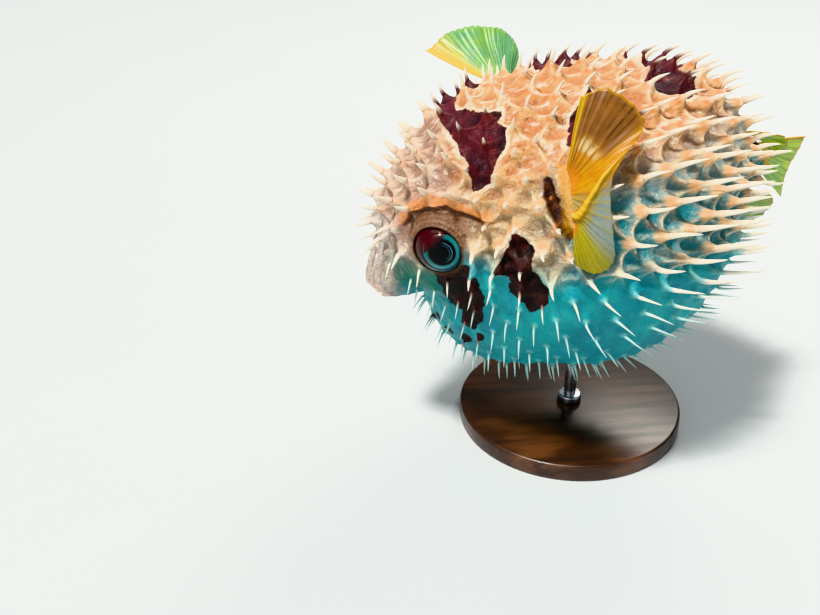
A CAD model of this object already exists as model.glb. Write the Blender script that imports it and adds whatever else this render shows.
from math import atan2, cos, pi, radians, sin, sqrt

import bpy
import numpy as np
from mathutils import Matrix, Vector
from mathutils.geometry import delaunay_2d_cdt
from mathutils.kdtree import KDTree


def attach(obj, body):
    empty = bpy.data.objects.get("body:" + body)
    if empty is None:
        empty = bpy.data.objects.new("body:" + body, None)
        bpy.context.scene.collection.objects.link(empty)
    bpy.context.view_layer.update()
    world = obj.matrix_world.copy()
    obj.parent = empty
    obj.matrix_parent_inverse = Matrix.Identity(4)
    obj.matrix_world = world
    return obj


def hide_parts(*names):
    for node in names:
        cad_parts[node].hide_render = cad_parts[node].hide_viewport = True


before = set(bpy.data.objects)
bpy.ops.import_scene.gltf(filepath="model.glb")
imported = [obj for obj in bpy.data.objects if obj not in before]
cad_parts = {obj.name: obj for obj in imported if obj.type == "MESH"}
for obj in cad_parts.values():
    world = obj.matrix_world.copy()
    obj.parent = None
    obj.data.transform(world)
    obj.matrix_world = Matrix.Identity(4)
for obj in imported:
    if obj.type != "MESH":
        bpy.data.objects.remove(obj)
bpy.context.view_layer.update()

print("frame loaded")

# small helpers


def unitOf(vectors):
    return vectors / np.linalg.norm(vectors, axis=-1, keepdims=True)


def ease(values, start, end):
    share = np.clip((values - start) / (end - start), 0, 1)
    return share * share * (3 - 2 * share)


def tone(red, green, blue):  # a screen colour of 0 to 255 as linear light
    shares = [part / 255 for part in (red, green, blue)]
    return (*[share / 12.92 if share < 0.0392 else ((share + 0.055) / 1.055) ** 2.4 for share in shares], 1)


def clearPick():
    if bpy.context.mode != "OBJECT":
        bpy.ops.object.mode_set(mode="OBJECT")
    bpy.ops.object.select_all(action="DESELECT")


def only(obj):
    clearPick()
    obj.select_set(True)
    bpy.context.view_layer.objects.active = obj


def named(name):
    obj = bpy.context.active_object
    obj.name = obj.data.name = name
    return obj


def vertexPlaces(obj):
    places = np.empty(len(obj.data.vertices) * 3, np.float32)
    obj.data.vertices.foreach_get("co", places)
    return places.reshape(-1, 3).astype(float)


def moveVertices(obj, places):
    obj.data.vertices.foreach_set("co", np.asarray(places, np.float32).ravel())
    obj.data.update()


def settle(obj):  # applies the modifiers and the object's own place and turn
    only(obj)
    for modifier in list(obj.modifiers):
        bpy.ops.object.modifier_apply(modifier=modifier.name)
    bpy.ops.object.transform_apply(location=True, rotation=True, scale=True)


def facesOut(obj):
    only(obj)
    bpy.ops.object.mode_set(mode="EDIT")
    bpy.ops.mesh.select_all(action="SELECT")
    bpy.ops.mesh.normals_make_consistent(inside=False)
    bpy.ops.object.mode_set(mode="OBJECT")


def keepValues(obj, name, values):  # one number or vector for each vertex, for the materials
    values = np.asarray(values, np.float32)
    kind = "FLOAT_VECTOR" if values.ndim == 2 else "FLOAT"
    layer = obj.data.attributes.new(name, kind, "POINT")
    layer.data.foreach_set("vector" if values.ndim == 2 else "value", values.ravel())


def install(obj, material, slot, *nodes):  # hands a finished piece to the frame
    obj.data.materials.clear()
    obj.data.materials.append(material)
    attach(obj, "root")
    if nodes:
        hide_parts(*nodes)
    return obj


# camera, floor and light

cameraSet = {"place": (-0.1918, -0.6273, 0.4599), "lookDown": 30.1, "turn": 7.39, "lens": 50}
floorSet = {"size": 8, "colour": tone(194, 200, 203), "cloud": tone(198, 205, 208), "rough": 0.8}
keySet = {"from": (-0.42, -0.30, 1.35), "aim": (0, 0, 0.17), "strength": 4.8, "spread": radians(10),
          "colour": (1.0, 0.95, 0.88)}
lampSet = {  # place, aim, size, watts, colour
    "fill": ((1.05, -0.85, 0.50), (0, 0, 0.13), 1.00, 2.4, (0.84, 0.95, 1.0)),
    "back": ((0.45, 0.75, 0.95), (0, 0, 0.18), 0.55, 8, (1.0, 0.94, 0.86)),
    "front": ((-0.75, -0.85, 0.55), (0, 0, 0.14), 1.10, 3.4, (1.0, 0.97, 0.93)),
}
worldSet = {"colour": (0.86, 0.93, 1.0, 1), "strength": 0.17, "seen": 0.80}


def makeCamera():
    clearPick()
    turn = (radians(90 - cameraSet["lookDown"]), 0, -radians(cameraSet["turn"]))
    bpy.ops.object.camera_add(location=cameraSet["place"], rotation=turn)
    camera = bpy.context.active_object
    camera.name = "camera"
    camera.data.lens = cameraSet["lens"]
    camera.data.sensor_width = 36
    camera.data.clip_start = 0.01
    bpy.context.scene.camera = camera


def addLamp(name, kind, place, aim):
    clearPick()
    turn = (Vector(aim) - Vector(place)).to_track_quat("-Z", "Y").to_euler()
    bpy.ops.object.light_add(type=kind, location=place, rotation=turn)
    lamp = bpy.context.active_object
    lamp.name = name + "_lamp"
    return lamp


def makeLamps():
    key = addLamp("key", "SUN", keySet["from"], keySet["aim"])
    key.data.energy, key.data.angle, key.data.color = keySet["strength"], keySet["spread"], keySet["colour"]
    for name, (place, aim, size, watts, colour) in lampSet.items():
        lamp = addLamp(name, "AREA", place, aim)
        lamp.data.shape = "DISK"
        lamp.data.size, lamp.data.energy, lamp.data.color = size, watts, colour
    world = bpy.data.worlds.new("studio")
    world.use_nodes = True
    tree = bench["tree"] = world.node_tree
    seen = node("LightPath").outputs["Is Camera Ray"]
    strength = node("MapRange", {0: seen, 3: worldSet["strength"], 4: worldSet["seen"]}).outputs[0]
    tree.nodes["Background"].inputs["Color"].default_value = worldSet["colour"]
    link(strength, tree.nodes["Background"].inputs["Strength"])
    bpy.context.scene.world = world
    bpy.context.scene.view_settings.view_transform = "Khronos PBR Neutral"


# nodes, in short: each is added to the tree on the bench

bench = {}


def node(kind, inputs=None, **settings):
    made = bench["tree"].nodes.new("ShaderNode" + kind)
    for key, value in settings.items():
        setattr(made, key, value)
    for key, value in (inputs or {}).items():
        if isinstance(value, bpy.types.NodeSocket):
            link(value, made.inputs[key])
        else:
            made.inputs[key].default_value = value
    return made


def link(output, socket):
    bench["tree"].links.new(output, socket)


def math(operation, a, b=0.0, c=0.0):
    return node("Math", {0: a, 1: b, 2: c}, operation=operation).outputs[0]


def times(first, *others):
    for other in others:
        first = math("MULTIPLY", first, other)
    return first


def plus(a, b):
    return math("ADD", a, b)


def minus(a, b):
    return math("SUBTRACT", a, b)


def scaled(value, scale, start):
    return math("MULTIPLY_ADD", value, scale, start)


def larger(a, b):
    return math("MAXIMUM", a, b)


def step(value, start, end, low=0.0, high=1.0):
    inputs = {0: value, 1: start, 2: end, 3: low, 4: high}
    return node("MapRange", inputs, interpolation_type="SMOOTHSTEP").outputs[0]


def mixed(share, a, b):
    return node("Mix", {0: share, 6: a, 7: b}, data_type="RGBA").outputs[2]


def painted(colour, *coats):  # coats of colour, each laid over the last through its mask
    for mask, coat in coats:
        colour = mixed(mask, colour, coat)
    return colour


def noise(place, scale, detail=3.0, rough=0.5):
    inputs = {"Vector": place, "Scale": scale, "Detail": detail, "Roughness": rough}
    return node("TexNoise", inputs).outputs[0]


def attribute(name, output=2):  # output 2 is the number, 1 the vector
    return node("Attribute", attribute_name=name).outputs[output]


def bump(height, distance, strength=1.0, under=None):
    inputs = {"Height": height, "Distance": distance, "Strength": strength}
    if under is not None:
        inputs["Normal"] = under
    return node("Bump", inputs).outputs[0]


def objectPlace(scale=(1, 1, 1)):
    place = node("TexCoord").outputs["Object"]
    return node("Mapping", {"Vector": place, "Scale": scale}).outputs[0]


def newGroup(name, inputs, outputs):
    group = bench["tree"] = bpy.data.node_groups.new(name, "ShaderNodeTree")
    for label, kind in inputs:
        group.interface.new_socket(label, in_out="INPUT", socket_type="NodeSocket" + kind)
    for label, kind in outputs:
        group.interface.new_socket(label, in_out="OUTPUT", socket_type="NodeSocket" + kind)
    return group, group.nodes.new("NodeGroupInput").outputs, group.nodes.new("NodeGroupOutput").inputs


def newMaterial(name, **plain):
    material = bpy.data.materials.new(name)
    material.use_nodes = True
    bench["tree"] = material.node_tree
    shader = material.node_tree.nodes["Principled BSDF"]
    for key, value in plain.items():
        shader.inputs[key.replace("_", " ")].default_value = value
    return material, shader.inputs


# the body, in the fish's own frame: forward, left and up from its middle

bodySet = {"height": 0.154, "noseDown": radians(8), "lobeBlend": 0.0055}
rodAim = np.array([sin(bodySet["noseDown"]), 0, -cos(bodySet["noseDown"])])  # straight down from the middle
lobes = {  # middle, radii, and the nose-down turn of each
    "ball": ((0.004, 0, -0.001), (0.095, 0.092, 0.094), 0),
    "rump": ((-0.038, 0, 0.030), (0.062, 0.056, 0.056), 0),
    "nape": ((0.047, 0, 0.030), (0.062, 0.062, 0.060), 0),
    "brow": ((0.074, 0, 0.016), (0.056, 0.052, 0.048), 18),
    "throat": ((0.050, 0, -0.033), (0.057, 0.058, 0.056), 0),
    "muzzle": ((0.112, 0, -0.008), (0.030, 0.023, 0.022), 30),
    "peduncle": ((-0.090, 0, 0.016), (0.027, 0.014, 0.018), 0),
}
swells = {  # middle, spread and height of each soft swelling
    "browRidge": ((0.093, 0.041, 0.040), (0.016, 0.010, 0.007), 0.0030),
    "cheek": ((0.098, 0.040, -0.014), (0.016, 0.012, 0.010), 0.0020),
    "upperLip": ((0.1385, 0, -0.0155), (0.006, 0.014, 0.0040), 0.0020),
    "lowerLip": ((0.1320, 0, -0.0310), (0.006, 0.013, 0.0045), 0.0026),
    "finPad": ((0.026, 0.078, 0.052), (0.008, 0.020, 0.018), 0.0040),
}
eyeSet = {"middle": (0.098, 0.047, 0.018), "radii": (0.0155, 0.0155, 0.0110), "sink": 0.0045}
mouthSet = {"middle": (0.1345, 0, -0.0225), "turn": radians(32), "radii": (0.0075, 0.0100, 0.0052)}
nostrilPlace = (0.1235, 0.0165, 0.0055)
pectoralPlace, pectoralRoot = (0.026, 0.078, 0.052), (0.004, 0, 0.036)
caudalPlace = (-0.116, 0, 0.016)


def folded(points):  # both sides laid on the left one
    return np.stack([points[..., 0], np.abs(points[..., 1]), points[..., 2]], -1)


def bothSides(points):
    return np.concatenate([points, points * [1, -1, 1]])


def lobeReach(middle, radii, turn, aims):  # how far out each aim from the middle leaves a lobe
    c, s = cos(radians(turn)), sin(radians(turn))
    spin = np.array([[c, 0, -s], [0, 1, 0], [s, 0, c]])
    start = spin @ np.array(middle, float) / radii
    aim = aims @ spin.T / radii
    a, b = (aim * aim).sum(-1), aim @ start
    inside = b * b - a * (start @ start - 1)
    return np.where(inside > 0, np.maximum((b + np.sqrt(np.maximum(inside, 0))) / a, 0), 0)


def skinPoints(aims):
    reach = np.stack([lobeReach(*lobe, aims) for lobe in lobes.values()])
    top = reach.max(0)
    blend = top + bodySet["lobeBlend"] * np.log(np.exp((reach - top) / bodySet["lobeBlend"]).sum(0))
    half = folded(aims * blend[..., None])
    for middle, spread, height in swells.values():
        blend = blend + height * np.exp(-(((half - middle) / spread) ** 2).sum(-1))
    return aims * blend[..., None]


def skinNormals(aims, nudge=0.004):
    side = np.where(np.abs(aims[..., :1]) < 0.9, [1.0, 0, 0], [0, 1.0, 0])
    u = unitOf(np.cross(aims, side))
    v = np.cross(aims, u)
    alongU = skinPoints(unitOf(aims + nudge * u)) - skinPoints(unitOf(aims - nudge * u))
    alongV = skinPoints(unitOf(aims + nudge * v)) - skinPoints(unitOf(aims - nudge * v))
    normals = unitOf(np.cross(alongU, alongV))
    return normals * np.sign((normals * aims).sum(-1, keepdims=True))


def evenAims(count):  # a golden spiral over the sphere
    k = np.arange(count) + 0.5
    height = 1 - 2 * k / count
    turn = k * pi * (3 - sqrt(5))
    ring = np.sqrt(1 - height * height)
    return np.stack([height, ring * np.cos(turn), ring * np.sin(turn)], -1)


def toWorld(points):
    f, l, u = np.moveaxis(np.asarray(points, float), -1, 0)
    c, s = cos(bodySet["noseDown"]), sin(bodySet["noseDown"])
    return np.stack([-(f * c + u * s), -l, u * c - f * s + bodySet["height"]], -1)


def planeAxes(normal, up=None):  # two directions across a plane
    if up is None:
        up = (1, 0, 0) if abs(normal[2]) > 0.8 else (0, 0, 1)
    side = unitOf(np.cross(up, normal))
    return side, np.cross(normal, side)


def skinSpot(place):  # the point of the skin under a named place, and its normal
    aim = unitOf(np.array(place, float))
    return skinPoints(aim), skinNormals(aim)


# fins: each is a fan of curved rays from a root on the skin


def fanTips(tips, shares):  # a smooth curve through the tips
    tips = np.array(tips, float)
    place = np.clip(shares, 0, 1) * (len(tips) - 1)
    k = np.minimum(place.astype(int), len(tips) - 2)
    t = (place - k)[:, None]
    before, after = tips[np.maximum(k - 1, 0)], tips[np.minimum(k + 2, len(tips) - 1)]
    a, b = tips[k], tips[k + 1]
    return 0.5 * (2 * a + (b - before) * t + (2 * before - 5 * a + 4 * b - after) * t**2
                  + (3 * a - before - 3 * b + after) * t**3)


def finPoints(fin, columns, rows):
    shares = np.linspace(0, 1, columns + 1)
    roots = fin["root"](shares)
    tips = fanTips(fin["tips"], shares)
    bends = (roots + tips) / 2 + np.array(fin["bend"])
    t = np.linspace(0, 1, rows + 1)[:, None, None]
    return (1 - t) ** 2 * roots + 2 * t * (1 - t) * bends + t**2 * tips


def pectoralRoots(side):
    def root(shares):
        aims = np.array(pectoralPlace) + (0.5 - shares[:, None]) * np.array(pectoralRoot)
        return skinPoints(unitOf(aims)) * [1, side, 1]
    return root


def midlineRoots(first, last):
    def root(shares):
        turn = np.radians(first + (last - first) * shares)
        return skinPoints(np.stack([-np.cos(turn), 0 * turn, np.sin(turn)], -1))
    return root


def beside(side, *offsets):
    f, l, u = pectoralPlace
    return [(f + forward, side * (l + out), u + up) for forward, out, up in offsets]


fins = {
    "pectoral_fin_left": {
        "root": pectoralRoots(1),
        "tips": beside(1, (-0.012, -0.010, 0.052), (-0.028, -0.010, 0.053), (-0.043, -0.002, 0.034),
                       (-0.022, 0.012, 0.014), (-0.018, 0.017, -0.014), (-0.018, 0.018, -0.034),
                       (-0.007, 0.018, -0.041), (0.004, 0.019, -0.031)),
        "bend": (0.004, 0.009, 0.002), "rays": 23, "columns": 184, "rows": 44,
        "crease": ((0.36, 0.40, 0.45, 0.50, 0.55, 0.60, 0.65, 0.72),
                   (0.95, 0.80, 0.64, 0.47, 0.36, 0.27, 0.20, 0.10)),
    },
    "pectoral_fin_right": {
        "root": pectoralRoots(-1),
        "tips": beside(-1, (0.048, 0.038, 0.030), (0.031, 0.044, 0.037), (0.010, 0.047, 0.038),
                       (-0.006, 0.040, 0.034), (-0.012, 0.028, 0.026), (-0.012, 0.022, 0.013)),
        "bend": (0.004, -0.004, -0.003), "rays": 23, "columns": 184, "rows": 40,
    },
    "dorsal_fin": {
        "root": midlineRoots(19, 14.2),
        "tips": [(-0.1285, 0, 0.0265), (-0.1300, 0, 0.0230), (-0.1275, 0, 0.0195), (-0.1225, 0, 0.0175)],
        "bend": (0, 0.002, 0.002), "rays": 14, "columns": 84, "rows": 24,
    },
    "caudal_fin": {
        "root": midlineRoots(13, 3),
        "tips": [(-0.142, 0, 0.024), (-0.1355, 0, 0.012), (-0.130, 0, 0.001), (-0.127, 0, -0.015)],
        "bend": (0, -0.002, 0), "rays": 11, "columns": 88, "rows": 24,
    },
    "anal_fin": {
        "root": midlineRoots(-4, -16),
        "tips": [(-0.118, 0, -0.008), (-0.122, 0, -0.018), (-0.1125, 0, -0.0265), (-0.101, 0, -0.030)],
        "bend": (0, 0.002, -0.001), "rays": 13, "columns": 78, "rows": 24,
    },
}

# where the spines grow

spineSet = {"seed": 7, "clearOfCut": 0.0030, "clearOfFin": 0.0030, "clearOfRod": 0.012, "shortest": 0.004,
            "scattered": 24000, "push": 0.28, "aboveEye": (0.0275, 0.024, 0.041)}
bareSpots = (  # middle and radius
    (mouthSet["middle"], 0.031), (eyeSet["middle"], 0.0190), (pectoralPlace, 0.0185), (caudalPlace, 0.012))
bodyCuts = (  # a point and the normal of each plane that parts the body's solids
    ((0.068, 0, 0), (cos(radians(25)), 0, sin(radians(25)))), ((-0.086, 0, 0), (-1, 0, 0)),
    ((0, 0, -0.030), (0, 0, -1)))


def spineSpacing(points):  # closer on the face, toward the tail and underneath
    forward, up = points[..., 0], points[..., 2]
    return (0.0142 - 0.0034 * ease(forward, 0.03, 0.11) - 0.0036 * ease(-forward, 0.06, 0.11)
            - 0.0018 * ease(-up, 0.03, 0.09))


def bearsSpines(points):  # everywhere but round the mouth, eyes, fins, tail root and rod
    half = folded(points)
    grows = np.ones(points.shape[:-1], bool)
    for middle, radius in bareSpots:
        grows &= np.linalg.norm(half - np.array(middle), axis=-1) > radius
    overRod = np.linalg.norm(toWorld(points)[..., :2], axis=-1) < spineSet["clearOfRod"]
    return grows & ~(overRod & (points[..., 2] < 0))


def scatteredRoots():  # on the left half, with none almost on the middle line
    aims = evenAims(spineSet["scattered"])
    aims = aims[aims[:, 1] >= 0]
    np.random.default_rng(spineSet["seed"]).shuffle(aims)
    points = skinPoints(aims)
    points = points[bearsSpines(points)]
    kept = np.empty((0, 3))
    for point, spacing in zip(points, spineSpacing(points)):
        between = 0.16 * spacing < point[1] < 0.5 * spacing
        if not between and (np.linalg.norm(kept - point, axis=1) > spacing).all():
            kept = np.vstack([kept, point])
    return kept


def spreadRoots(roots, rounds=40):  # pushes them apart into even, staggered rows
    middle = roots[:, 1] < 0.2 * spineSpacing(roots)
    order = np.arange(len(roots))
    for _ in range(rounds):
        spacing = spineSpacing(roots)
        offset = roots[:, None] - bothSides(roots)[None]
        distance = np.linalg.norm(offset, axis=-1) + 1e-9
        reach = 1.4 * spacing[:, None]
        push = np.where(distance < reach, (reach - distance) / reach, 0)
        push[order, order] = 0
        push[order[middle], order[middle] + len(roots)] = 0
        shove = (offset / distance[..., None] * push[..., None]).sum(1)
        moved = roots + spineSet["push"] * spacing[:, None] * shove
        moved[:, 1] = np.where(middle, 0, np.maximum(moved[:, 1], 0.45 * spacing))
        moved = skinPoints(unitOf(moved))
        roots = np.where(bearsSpines(moved)[:, None], moved, roots)
    roots = roots * np.where(middle, 0, 1)[:, None] * [0, 1, 0] + roots * [1, 0, 1]
    return np.vstack([roots, roots[~middle] * [1, -1, 1]])


def keptOffCuts(roots, rounds=8):  # moved clear of the planes between the body's solids
    for _ in range(rounds):
        for point, normal in bodyCuts:
            off = (roots - point) @ normal
            clear = spineSet["clearOfCut"]
            short = np.where(np.abs(off) < clear, np.copysign(clear, off) - off, 0)
            roots = skinPoints(unitOf(roots + short[:, None] * normal))
    return roots


def spineAims(roots, normals):  # upright on the forehead, leaning back toward the tail
    forward, up = roots[:, 0], roots[:, 2]
    lean = 0.15 + 0.55 * ease(-forward, -0.06, 0.02) + 1.3 * ease(-forward, -0.01, 0.07)
    lean = lean * (1 - 0.35 * ease(-up, 0.03, 0.09))
    droop = 0.7 * ease(forward, 0, 0.05) * ease(-up, -0.04, 0.0)
    return unitOf(normals + lean[:, None] * [-1.0, 0, 0] + droop[:, None] * [0, 0, -1.0])


def spineLengths(roots):  # longest on the rear flank
    forward, side, up = roots[:, 0], np.abs(roots[:, 1]), roots[:, 2]
    forehead = ease(forward, 0.08, 0.12) * ease(up, 0, 0.05)
    flank = np.exp(-(((forward + 0.045) / 0.05) ** 2)) * ease(side, 0.03, 0.08) * ease(up, -0.06, -0.01)
    back = ease(-forward, 0, 0.08) * ease(up, -0.06, 0)
    return 0.0135 + 0.004 * forehead + 0.016 * flank + 0.007 * back - 0.002 * ease(-up, 0.04, 0.09)


def shortenedUnderFins(roots, aims, lengths):  # where a spine would reach a fin's web
    webs = np.concatenate([finPoints(fin, 40, 20).reshape(-1, 3) for fin in fins.values()])
    for share in np.linspace(0.1, 1, 8):
        at = roots + aims * (share * lengths)[:, None]
        near = np.linalg.norm(at[:, None] - webs[None], axis=-1).min(1) < spineSet["clearOfFin"]
        lengths = np.where(near, np.maximum(share * lengths - spineSet["clearOfFin"], 0), lengths)
    return np.where(lengths < spineSet["shortest"], 0, lengths)


def grownSpines():  # roots, leans and lengths, without those that a fin or the eye leaves no room for
    roots = keptOffCuts(spreadRoots(scatteredRoots()))
    leans = spineAims(roots, skinNormals(unitOf(roots)))
    lengths = shortenedUnderFins(roots, leans, spineLengths(roots))
    radius, low, high = spineSet["aboveEye"]
    fromEye = np.linalg.norm(folded(roots) - eyeSet["middle"], axis=1)
    grown = (lengths > 0) & ~((fromEye < radius) & (roots[:, 2] > low) & (roots[:, 2] < high))
    return roots[grown], leans[grown], lengths[grown]


spineRoots, spineLeans, spineReach = grownSpines()
spineGaps = spineSpacing(spineRoots)
print(len(spineRoots), "spines placed")

# markings: patches with straight edges and round spots, in millimetres of the fish's frame

patches = {
    "nape": [(84, -13, 77), (82, 14, 77), (79, 26, 75), (77, 36, 70), (74, 46, 62), (73, 49, 58),
             (77, 51, 51), (70, 53, 54), (64, 55, 57), (60, 50, 66), (52, 44, 75), (50, 36, 80),
             (53, 32, 82), (50, 24, 87), (63, 17, 86), (73, 5, 84), (76, -14, 81)],
    "eyeBar": [(103, 43, 4), (98, 40, -12), (95, 38, -24), (90, 45, -27), (91, 41, -38), (85, 48, -41),
               (78, 54, -31), (76, 59, -13), (79, 58, -4), (82, 56, 10), (90, 51, 9)],
    "shoulder": [(56, 70, 35), (53, 73, 31), (47, 78, 23), (50, 80, 12), (43, 83, 3), (44, 83, -8),
                 (53, 77, -18), (56, 76, -11), (65, 71, -4), (62, 72, 4), (69, 68, 11), (63, 69, 22)],
    "aboveFin": [(0, 26, 89), (16, 44, 81), (22, 57, 72), (8, 63, 68), (0, 64, 67), (-11, 56, 72),
                 (-21, 50, 74), (-23, 44, 78), (-17, 36, 83), (-9, 31, 87)],
    "midBack": [(-34, 24, 86), (-46, 29, 80), (-57, 29, 76), (-66, 25, 74), (-67, 12, 79), (-60, -3, 83),
                (-50, -4, 87), (-40, 3, 89)],
    "finFoot": [(-94, -6, 50), (-94, 5, 49), (-95, 12, 45), (-98, 16, 38), (-102, 16, 31), (-106, 11, 26),
                (-109, 2, 24), (-110, -6, 24)],
}
farPatches = {"aboveFarFin": [(14, -12, 92), (24, -30, 86), (16, -44, 80), (-4, -36, 86), (-2, -12, 93)]}
axilSet = {"seed": 5, "share": 0.45, "behind": (-0.0040, 0, -0.0034)}
spots = [((103, 21, -42), 3.6), ((104, 14, -46), 3.0), ((98, 28, -50), 3.8), ((89, 40, -50), 4.2),
         ((82, 50, -45), 3.4)]
browLine = [(118, 27, 28), (110, 31, 37), (102, 38, 43), (90, 46, 45), (86, 50, 42), (76, 57, 39),
            (64, 64, 37)]
gillLine = [(35, 67, 58), (36, 71, 51), (35, 76, 45), (32, 80, 38), (27, 84, 30)]
finRootLine = pectoralRoots(1)(np.linspace(0, 1, 6)) * 1000


def awayFrom(places, a, b):  # distance from the line between two points
    share = np.clip((places - a) @ (b - a) / ((b - a) @ (b - a)), 0, 1)
    return np.linalg.norm(places - a - share[:, None] * (b - a), axis=1)


def patchDepth(points, corners):  # how far inside a patch of the skin, in millimetres
    corners = np.array(corners, float)
    ahead, far = unitOf(corners.mean(0)), np.linalg.norm(corners.mean(0))
    side, top = planeAxes(ahead)

    def flat(places):
        return np.stack([places @ side, places @ top], -1) * (far / np.maximum(places @ ahead, 1e-3))[:, None]

    places, outline = flat(points * 1000), flat(corners)
    inside, nearest = np.zeros(len(places), bool), np.full(len(places), 1e9)
    for a, b in zip(outline, np.roll(outline, -1, 0)):
        nearest = np.minimum(nearest, awayFrom(places, a, b))
        crosses = (a[1] > places[:, 1]) != (b[1] > places[:, 1])
        edge = a[0] + (places[:, 1] - a[1]) * (b[0] - a[0]) / (b[1] - a[1] + 1e-9)
        inside ^= crosses & (places[:, 0] < edge)
    depth = np.where(inside, nearest, -nearest)
    return np.where(points @ ahead > 0.5 * np.linalg.norm(points, axis=1), depth, -99)


def lineDistance(points, line):  # distance from a bent line, in millimetres
    points, line = points * 1000, np.array(line, float)
    return np.min([awayFrom(points, a, b) for a, b in zip(line, line[1:])], 0)


def axilDistance(points):  # from the nearest dark spot behind some of the flank's spines, in millimetres
    forward, side, up = spineRoots.T
    marked = (forward < 0.012) & (forward > -0.068) & (np.abs(side) > 0.05) & (up > -0.012) & (up < 0.046)
    marked &= np.random.default_rng(axilSet["seed"]).uniform(size=len(spineRoots)) < axilSet["share"]
    places = skinPoints(unitOf(spineRoots[marked] + axilSet["behind"]))
    return np.min([np.linalg.norm(points - place, axis=1) for place in places], 0) * 1000


def blotchDepth(points):
    half = folded(points)
    depths = [patchDepth(half, corners) for corners in patches.values()]
    depths += [patchDepth(points, corners) for corners in farPatches.values()]
    depths += [radius - np.linalg.norm(half * 1000 - middle, axis=1) for middle, radius in spots]
    return np.max(depths, 0)


# the skin: one net of triangles, closest where the form is finest

netSet = {
    "spineRings": (0.0004, 0.0008, 0.0013, 0.0019, 0.0027, 0.0037, 0.0048),
    "spineCounts": (7, 9, 11, 13, 15, 17, 19),
    "eyeRings": (0.0129, 0.0183, 13), "eyeCount": 84,
    "nostrilRings": (0.0001, 0.0004, 0.0007, 0.00095, 0.0012, 0.0015, 0.0019, 0.0025, 0.0032),
    "nostrilCount": 16,
    "mouthRings": (0.35, 0.6, 0.8, 0.92, 1.0, 1.08, 1.16, 1.26, 1.38, 1.52, 1.7, 1.95, 2.25),
    "mouthCount": 72,
    "spotRings": (0.3, 0.6, 0.85, 1.05, 1.3, 1.6),
    "gillRows": (-4.2, -3.4, -2.6, -1.8, -0.9, 0, 0.9, 1.8, 2.6, 3.4, 4.2, 5.0), "gillCount": 44,
    "browRows": (-3.6, -2.8, -2.2, -1.6, -1.1, -0.7, -0.3, 0.1, 0.5, 0.9, 1.4, 2.0, 2.8), "browCount": 96,
    "rodRings": (0.0044, 0.0056, 0.0070), "rodCount": 24, "spotCount": 18,
    "body": 33000, "face": 130000, "faceFrom": 0.076,
    "foldStep": 0.0012, "foldSide": 0.0011, "foldsOver": -0.050,
}
netGaps = {"collars": 0.0006, "crests": 0.0007, "sides": 0.0008, "body": 0.0012, "shared": 0.0009}
mouthOpening = (0.0104, 0.0056)  # half width and half height between the lips


def rings(place, radii, counts, squash=1.0):  # staggered rings of points round a place on the skin
    middle, normal = skinSpot(place)
    side, top = planeAxes(normal)
    found = []
    for k, (radius, count) in enumerate(zip(radii, np.broadcast_to(counts, len(radii)))):
        turn = ((np.arange(count) + 0.5 * (k % 2)) * 2 * pi / count)[:, None]
        found.append(middle + radius * (np.cos(turn) * side + squash * np.sin(turn) * top))
    return np.concatenate(found)


def apart(points, others, gap):  # leaves out points closer than the gap to the others
    nearest = KDTree(len(others))
    for number, point in enumerate(others):
        nearest.insert(point, number)
    nearest.balance()
    return points[[nearest.find(point)[2] > gap for point in points]]


def nearestRoots(points, count=4):
    numbers, distances = [], []
    for part in np.array_split(points, len(points) // 6000 + 1):
        away = np.linalg.norm(part[:, None] - spineRoots[None], axis=-1)
        near = np.argsort(away, axis=1)[:, :count]
        numbers.append(near)
        distances.append(np.take_along_axis(away, near, 1))
    return np.concatenate(numbers), np.concatenate(distances)


def foldPoints():  # rows of points along the folds of skin stretched between neighbouring spines
    away = np.linalg.norm(spineRoots[:, None] - spineRoots[None], axis=-1)
    order = np.arange(len(spineRoots))
    first, second = np.nonzero((away < 1.5 * spineGaps[:, None]) & (order[:, None] < order))
    crest, sides = [], []
    for a, b in zip(spineRoots[first], spineRoots[second]):
        if a[2] < netSet["foldsOver"]:
            continue
        span = np.linalg.norm(b - a)
        along = np.linspace(0, 1, max(int(span / netSet["foldStep"]), 3) + 1)[1:-1, None]
        line = a + along * (b - a)
        off = netSet["foldSide"] * unitOf(np.cross(a + b, b - a))
        crest.append(line)
        sides += [line[::2] + off, line[::2] - off]
    found = []
    for rows, least in ((crest, 0.6), (sides, 0.02)):
        points = skinPoints(unitOf(np.concatenate(rows)))
        found.append(points[tents(points)[2] > least])
    return found


def besideLine(line, count, offsets):  # rows of points at offsets to the side of a bent line, in millimetres
    line = np.array(line) / 1000
    along = np.linspace(0, len(line) - 1, count)
    places = np.stack([np.interp(along, range(len(line)), line[:, k]) for k in range(3)], -1)
    side = unitOf(np.cross(np.gradient(places, axis=0), places))
    padded = np.pad(side, ((4, 4), (0, 0)), mode="edge")
    side = np.stack([np.convolve(padded[:, k], np.ones(9) / 9, "valid") for k in range(3)], -1)
    return np.concatenate([places + offset / 1000 * unitOf(side) for offset in offsets])


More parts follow.
